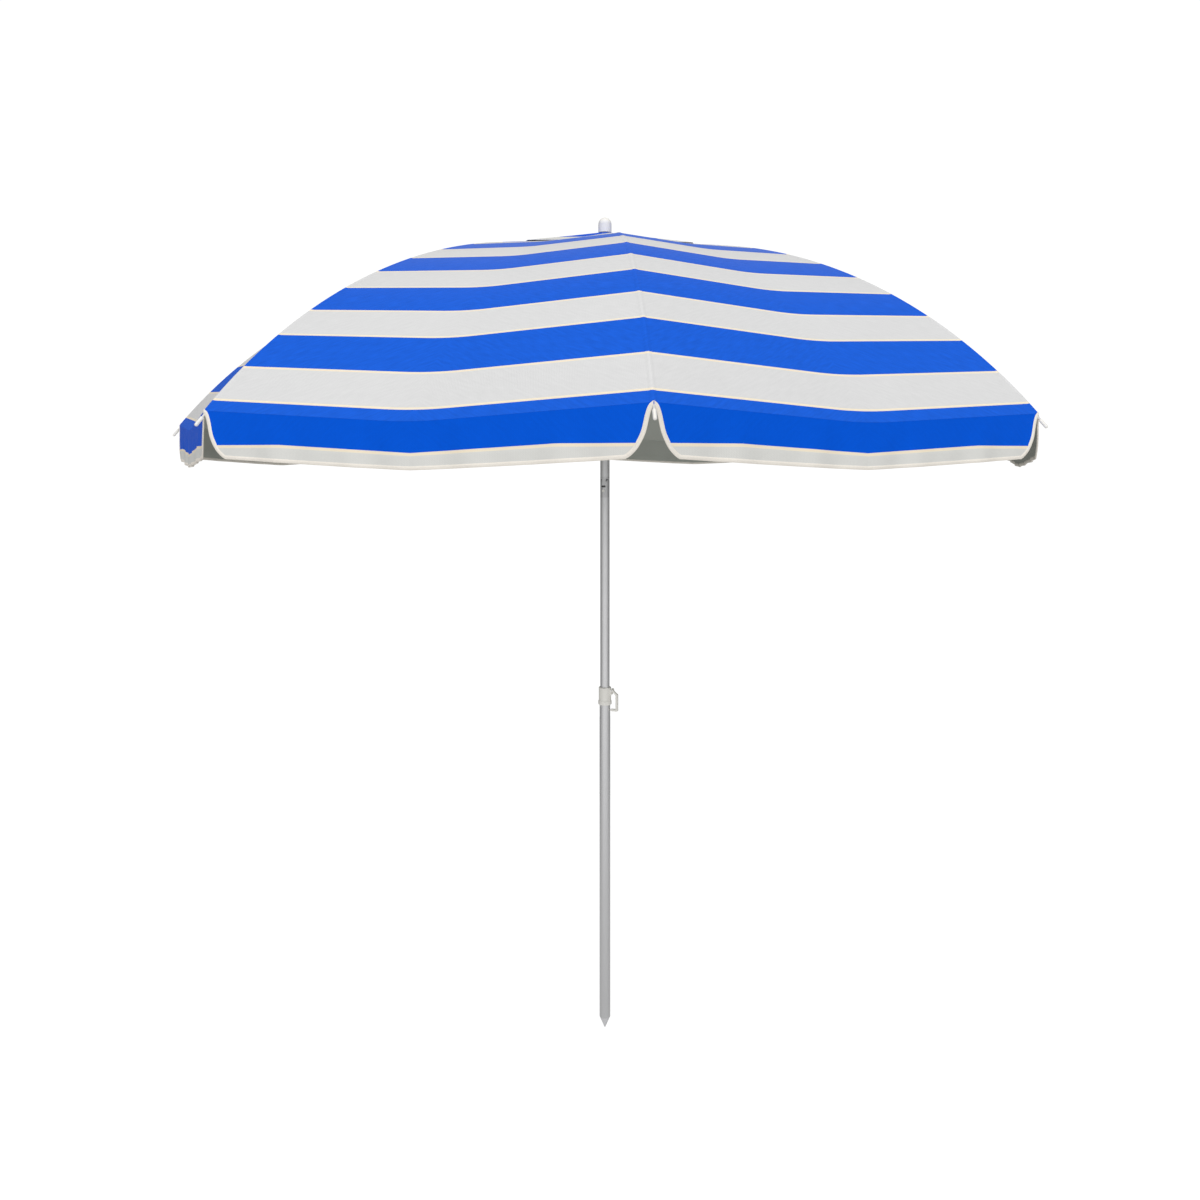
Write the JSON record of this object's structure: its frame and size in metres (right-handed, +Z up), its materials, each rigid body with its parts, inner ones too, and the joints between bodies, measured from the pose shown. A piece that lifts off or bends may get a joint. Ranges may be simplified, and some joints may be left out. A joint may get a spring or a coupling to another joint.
{
  "type": "beach umbrella",
  "caption": "Folding beach umbrella with a striped vented canopy, curved ribs, sliding runner, tilt joint, telescoping pole with a lever collar, and a ground spike.",
  "frame": {"origin": "pole axis at the bottom of the lower tube, where the ground spike starts", "axes": "+Z up along the pole; -Y is the side of the tilt release button; +X is the side of the height collar's lever"},
  "size_m": [1.5908, 1.5908, 1.656],
  "materials": {
    "anodised_tube": "satin",
    "spike_plastic": "satin",
    "white_plastic": "satin",
    "grey_plastic": "matte",
    "grey_metal": "satin",
    "steel_wire": "polished",
    "rib_steel": "satin",
    "striped_fabric": "woven"
  },
  "bodies": {
    "pole": {"lower_pole": "anodised_tube", "ground_spike": "spike_plastic", "height_collar": "white_plastic", "lever_pin": "steel_wire"},
    "lever": {"lock_lever": "white_plastic"},
    "inner": {"inner_pole": "anodised_tube", "pole_plug": "grey_plastic", "tilt_socket": "grey_metal", "tilt_pin": "steel_wire", "button_spring": "steel_wire"},
    "button": {"tilt_button": "white_plastic"},
    "mast": {"tilt_knuckle": "grey_metal", "mast_tube": "anodised_tube", "hub": "white_plastic", "hub_ring": "steel_wire", "finial_cap": "white_plastic"},
    "runner": {"runner": "white_plastic", "runner_ring": "steel_wire"},
    "rib_1_body": {"rib_1": "rib_steel", "rib_tip_1": "white_plastic"},
    "stretcher_1_body": {"stretcher_1": "rib_steel"},
    "gore_1_left_body": {"gore_1_left": "striped_fabric"},
    "gore_1_right_body": {"gore_1_right": "striped_fabric"},
    "rib_2_body": {"rib_2": "rib_steel", "rib_tip_2": "white_plastic"},
    "stretcher_2_body": {"stretcher_2": "rib_steel"},
    "gore_2_left_body": {"gore_2_left": "striped_fabric"},
    "gore_2_right_body": {"gore_2_right": "striped_fabric"},
    "rib_3_body": {"rib_3": "rib_steel", "rib_tip_3": "white_plastic"},
    "stretcher_3_body": {"stretcher_3": "rib_steel"},
    "gore_3_left_body": {"gore_3_left": "striped_fabric"},
    "gore_3_right_body": {"gore_3_right": "striped_fabric"},
    "rib_4_body": {"rib_4": "rib_steel", "rib_tip_4": "white_plastic"},
    "stretcher_4_body": {"stretcher_4": "rib_steel"},
    "gore_4_left_body": {"gore_4_left": "striped_fabric"},
    "gore_4_right_body": {"gore_4_right": "striped_fabric"},
    "rib_5_body": {"rib_5": "rib_steel", "rib_tip_5": "white_plastic"},
    "stretcher_5_body": {"stretcher_5": "rib_steel"},
    "gore_5_left_body": {"gore_5_left": "striped_fabric"},
    "gore_5_right_body": {"gore_5_right": "striped_fabric"},
    "rib_6_body": {"rib_6": "rib_steel", "rib_tip_6": "white_plastic"},
    "stretcher_6_body": {"stretcher_6": "rib_steel"},
    "gore_6_left_body": {"gore_6_left": "striped_fabric"},
    "gore_6_right_body": {"gore_6_right": "striped_fabric"},
    "rib_7_body": {"rib_7": "rib_steel", "rib_tip_7": "white_plastic"},
    "stretcher_7_body": {"stretcher_7": "rib_steel"},
    "gore_7_left_body": {"gore_7_left": "striped_fabric"},
    "gore_7_right_body": {"gore_7_right": "striped_fabric"},
    "rib_8_body": {"rib_8": "rib_steel", "rib_tip_8": "white_plastic"},
    "stretcher_8_body": {"stretcher_8": "rib_steel"},
    "gore_8_left_body": {"gore_8_left": "striped_fabric"},
    "gore_8_right_body": {"gore_8_right": "striped_fabric"}
  },
  "joints": [
    {"name": "height_adjust", "type": "slide", "parent": "pole", "child": "inner", "axis": [0, 0, 1], "range_m": [-0.24, 0.28]},
    {"name": "lever_pivot", "type": "hinge", "parent": "pole", "child": "lever", "pos_m": [0.0155, 0, 0.6675], "axis": [0, -1, 0], "range_deg": [0, 18], "stiffness_Nm_per_rad": 0.35, "springref_deg": -8.59},
    {"name": "tilt_release", "type": "slide", "parent": "inner", "child": "button", "axis": [0, 1, 0], "range_m": [0, 0.0025], "stiffness_N_per_m": 900, "springref_m": -0.002, "deforming": ["button_spring"]},
    {"name": "tilt", "type": "hinge", "parent": "inner", "child": "mast", "pos_m": [0, 0, 1.089], "axis": [1, 0, 0], "range_deg": [-35, 0]},
    {"name": "canopy_fold", "type": "slide", "parent": "mast", "child": "runner", "axis": [0, 0, -1], "range_m": [0, 0.4844], "deforming": ["gore_1_left", "gore_1_right", "gore_2_left", "gore_2_right", "gore_3_left", "gore_3_right", "gore_4_left", "gore_4_right", "gore_5_left", "gore_5_right", "gore_6_left", "gore_6_right", "gore_7_left", "gore_7_right", "gore_8_left", "gore_8_right"]},
    {"name": "rib_1_hinge", "type": "hinge", "parent": "mast", "child": "rib_1_body", "pos_m": [0.00842, -0.02033, 1.58205], "axis": [0.9239, 0.3827, 0], "range_deg": [0, 60.07]},
    {"name": "stretcher_1_hinge", "type": "hinge", "parent": "rib_1_body", "child": "stretcher_1_body", "pos_m": [0.15199, -0.36693, 1.49818], "axis": [-0.9239, -0.3827, 0], "range_deg": [0, 105.09]},
    {"name": "gore_1_left_crease", "type": "hinge", "parent": "rib_1_body", "child": "gore_1_left_body", "pos_m": [0.00842, -0.02033, 1.58205], "axis": [-0.2474, -0.8764, 0.4132], "range_deg": [0, 22.82]},
    {"name": "gore_1_right_crease", "type": "hinge", "parent": "rib_1_body", "child": "gore_1_right_body", "pos_m": [0.00842, -0.02033, 1.58205], "axis": [-0.7946, 0.4448, -0.4132], "range_deg": [0, 22.82]},
    {"name": "rib_2_hinge", "type": "hinge", "parent": "mast", "child": "rib_2_body", "pos_m": [0.02033, -0.00842, 1.58205], "axis": [0.3827, 0.9239, 0], "range_deg": [0, 60.07]},
    {"name": "stretcher_2_hinge", "type": "hinge", "parent": "rib_2_body", "child": "stretcher_2_body", "pos_m": [0.36693, -0.15199, 1.49818], "axis": [-0.3827, -0.9239, 0], "range_deg": [0, 105.09]},
    {"name": "gore_2_left_crease", "type": "hinge", "parent": "rib_2_body", "child": "gore_2_left_body", "pos_m": [0.02033, -0.00842, 1.58205], "axis": [0.4448, -0.7946, 0.4132], "range_deg": [0, 22.82]},
    {"name": "gore_2_right_crease", "type": "hinge", "parent": "rib_2_body", "child": "gore_2_right_body", "pos_m": [0.02033, -0.00842, 1.58205], "axis": [-0.8764, -0.2474, -0.4132], "range_deg": [0, 22.82]},
    {"name": "rib_3_hinge", "type": "hinge", "parent": "mast", "child": "rib_3_body", "pos_m": [0.02033, 0.00842, 1.58205], "axis": [-0.3827, 0.9239, 0], "range_deg": [0, 60.07]},
    {"name": "stretcher_3_hinge", "type": "hinge", "parent": "rib_3_body", "child": "stretcher_3_body", "pos_m": [0.36693, 0.15199, 1.49818], "axis": [0.3827, -0.9239, 0], "range_deg": [0, 105.09]},
    {"name": "gore_3_left_crease", "type": "hinge", "parent": "rib_3_body", "child": "gore_3_left_body", "pos_m": [0.02033, 0.00842, 1.58205], "axis": [0.8764, -0.2474, 0.4132], "range_deg": [0, 22.82]},
    {"name": "gore_3_right_crease", "type": "hinge", "parent": "rib_3_body", "child": "gore_3_right_body", "pos_m": [0.02033, 0.00842, 1.58205], "axis": [-0.4448, -0.7946, -0.4132], "range_deg": [0, 22.82]},
    {"name": "rib_4_hinge", "type": "hinge", "parent": "mast", "child": "rib_4_body", "pos_m": [0.00842, 0.02033, 1.58205], "axis": [-0.9239, 0.3827, 0], "range_deg": [0, 60.07]},
    {"name": "stretcher_4_hinge", "type": "hinge", "parent": "rib_4_body", "child": "stretcher_4_body", "pos_m": [0.15199, 0.36693, 1.49818], "axis": [0.9239, -0.3827, 0], "range_deg": [0, 105.09]},
    {"name": "gore_4_left_crease", "type": "hinge", "parent": "rib_4_body", "child": "gore_4_left_body", "pos_m": [0.00842, 0.02033, 1.58205], "axis": [0.7946, 0.4448, 0.4132], "range_deg": [0, 22.82]},
    {"name": "gore_4_right_crease", "type": "hinge", "parent": "rib_4_body", "child": "gore_4_right_body", "pos_m": [0.00842, 0.02033, 1.58205], "axis": [0.2474, -0.8764, -0.4132], "range_deg": [0, 22.82]},
    {"name": "rib_5_hinge", "type": "hinge", "parent": "mast", "child": "rib_5_body", "pos_m": [-0.00842, 0.02033, 1.58205], "axis": [-0.9239, -0.3827, 0], "range_deg": [0, 60.07]},
    {"name": "stretcher_5_hinge", "type": "hinge", "parent": "rib_5_body", "child": "stretcher_5_body", "pos_m": [-0.15199, 0.36693, 1.49818], "axis": [0.9239, 0.3827, 0], "range_deg": [0, 105.09]},
    {"name": "gore_5_left_crease", "type": "hinge", "parent": "rib_5_body", "child": "gore_5_left_body", "pos_m": [-0.00842, 0.02033, 1.58205], "axis": [0.2474, 0.8764, 0.4132], "range_deg": [0, 22.82]},
    {"name": "gore_5_right_crease", "type": "hinge", "parent": "rib_5_body", "child": "gore_5_right_body", "pos_m": [-0.00842, 0.02033, 1.58205], "axis": [0.7946, -0.4448, -0.4132], "range_deg": [0, 22.82]},
    {"name": "rib_6_hinge", "type": "hinge", "parent": "mast", "child": "rib_6_body", "pos_m": [-0.02033, 0.00842, 1.58205], "axis": [-0.3827, -0.9239, 0], "range_deg": [0, 60.07]},
    {"name": "stretcher_6_hinge", "type": "hinge", "parent": "rib_6_body", "child": "stretcher_6_body", "pos_m": [-0.36693, 0.15199, 1.49818], "axis": [0.3827, 0.9239, 0], "range_deg": [0, 105.09]},
    {"name": "gore_6_left_crease", "type": "hinge", "parent": "rib_6_body", "child": "gore_6_left_body", "pos_m": [-0.02033, 0.00842, 1.58205], "axis": [-0.4448, 0.7946, 0.4132], "range_deg": [0, 22.82]},
    {"name": "gore_6_right_crease", "type": "hinge", "parent": "rib_6_body", "child": "gore_6_right_body", "pos_m": [-0.02033, 0.00842, 1.58205], "axis": [0.8764, 0.2474, -0.4132], "range_deg": [0, 22.82]},
    {"name": "rib_7_hinge", "type": "hinge", "parent": "mast", "child": "rib_7_body", "pos_m": [-0.02033, -0.00842, 1.58205], "axis": [0.3827, -0.9239, 0], "range_deg": [0, 60.07]},
    {"name": "stretcher_7_hinge", "type": "hinge", "parent": "rib_7_body", "child": "stretcher_7_body", "pos_m": [-0.36693, -0.15199, 1.49818], "axis": [-0.3827, 0.9239, 0], "range_deg": [0, 105.09]},
    {"name": "gore_7_left_crease", "type": "hinge", "parent": "rib_7_body", "child": "gore_7_left_body", "pos_m": [-0.02033, -0.00842, 1.58205], "axis": [-0.8764, 0.2474, 0.4132], "range_deg": [0, 22.82]},
    {"name": "gore_7_right_crease", "type": "hinge", "parent": "rib_7_body", "child": "gore_7_right_body", "pos_m": [-0.02033, -0.00842, 1.58205], "axis": [0.4448, 0.7946, -0.4132], "range_deg": [0, 22.82]},
    {"name": "rib_8_hinge", "type": "hinge", "parent": "mast", "child": "rib_8_body", "pos_m": [-0.00842, -0.02033, 1.58205], "axis": [0.9239, -0.3827, 0], "range_deg": [0, 60.07]},
    {"name": "stretcher_8_hinge", "type": "hinge", "parent": "rib_8_body", "child": "stretcher_8_body", "pos_m": [-0.15199, -0.36693, 1.49818], "axis": [-0.9239, 0.3827, 0], "range_deg": [0, 105.09]},
    {"name": "gore_8_left_crease", "type": "hinge", "parent": "rib_8_body", "child": "gore_8_left_body", "pos_m": [-0.00842, -0.02033, 1.58205], "axis": [-0.7946, -0.4448, 0.4132], "range_deg": [0, 22.82]},
    {"name": "gore_8_right_crease", "type": "hinge", "parent": "rib_8_body", "child": "gore_8_right_body", "pos_m": [-0.00842, -0.02033, 1.58205], "axis": [-0.2474, 0.8764, -0.4132], "range_deg": [0, 22.82]}
  ],
  "couplings": [
    {"joint": "rib_1_hinge", "follows": "canopy_fold", "rad_per_m": 2.1637},
    {"joint": "stretcher_1_hinge", "follows": "canopy_fold", "rad_per_m": 3.7859},
    {"joint": "gore_1_left_crease", "follows": "canopy_fold", "rad_per_m": 0.8214},
    {"joint": "gore_1_right_crease", "follows": "canopy_fold", "rad_per_m": 0.8214},
    {"joint": "rib_2_hinge", "follows": "canopy_fold", "rad_per_m": 2.1637},
    {"joint": "stretcher_2_hinge", "follows": "canopy_fold", "rad_per_m": 3.7859},
    {"joint": "gore_2_left_crease", "follows": "canopy_fold", "rad_per_m": 0.8214},
    {"joint": "gore_2_right_crease", "follows": "canopy_fold", "rad_per_m": 0.8214},
    {"joint": "rib_3_hinge", "follows": "canopy_fold", "rad_per_m": 2.1637},
    {"joint": "stretcher_3_hinge", "follows": "canopy_fold", "rad_per_m": 3.7859},
    {"joint": "gore_3_left_crease", "follows": "canopy_fold", "rad_per_m": 0.8214},
    {"joint": "gore_3_right_crease", "follows": "canopy_fold", "rad_per_m": 0.8214},
    {"joint": "rib_4_hinge", "follows": "canopy_fold", "rad_per_m": 2.1637},
    {"joint": "stretcher_4_hinge", "follows": "canopy_fold", "rad_per_m": 3.7859},
    {"joint": "gore_4_left_crease", "follows": "canopy_fold", "rad_per_m": 0.8214},
    {"joint": "gore_4_right_crease", "follows": "canopy_fold", "rad_per_m": 0.8214},
    {"joint": "rib_5_hinge", "follows": "canopy_fold", "rad_per_m": 2.1637},
    {"joint": "stretcher_5_hinge", "follows": "canopy_fold", "rad_per_m": 3.7859},
    {"joint": "gore_5_left_crease", "follows": "canopy_fold", "rad_per_m": 0.8214},
    {"joint": "gore_5_right_crease", "follows": "canopy_fold", "rad_per_m": 0.8214},
    {"joint": "rib_6_hinge", "follows": "canopy_fold", "rad_per_m": 2.1637},
    {"joint": "stretcher_6_hinge", "follows": "canopy_fold", "rad_per_m": 3.7859},
    {"joint": "gore_6_left_crease", "follows": "canopy_fold", "rad_per_m": 0.8214},
    {"joint": "gore_6_right_crease", "follows": "canopy_fold", "rad_per_m": 0.8214},
    {"joint": "rib_7_hinge", "follows": "canopy_fold", "rad_per_m": 2.1637},
    {"joint": "stretcher_7_hinge", "follows": "canopy_fold", "rad_per_m": 3.7859},
    {"joint": "gore_7_left_crease", "follows": "canopy_fold", "rad_per_m": 0.8214},
    {"joint": "gore_7_right_crease", "follows": "canopy_fold", "rad_per_m": 0.8214},
    {"joint": "rib_8_hinge", "follows": "canopy_fold", "rad_per_m": 2.1637},
    {"joint": "stretcher_8_hinge", "follows": "canopy_fold", "rad_per_m": 3.7859},
    {"joint": "gore_8_left_crease", "follows": "canopy_fold", "rad_per_m": 0.8214},
    {"joint": "gore_8_right_crease", "follows": "canopy_fold", "rad_per_m": 0.8214}
  ]
}
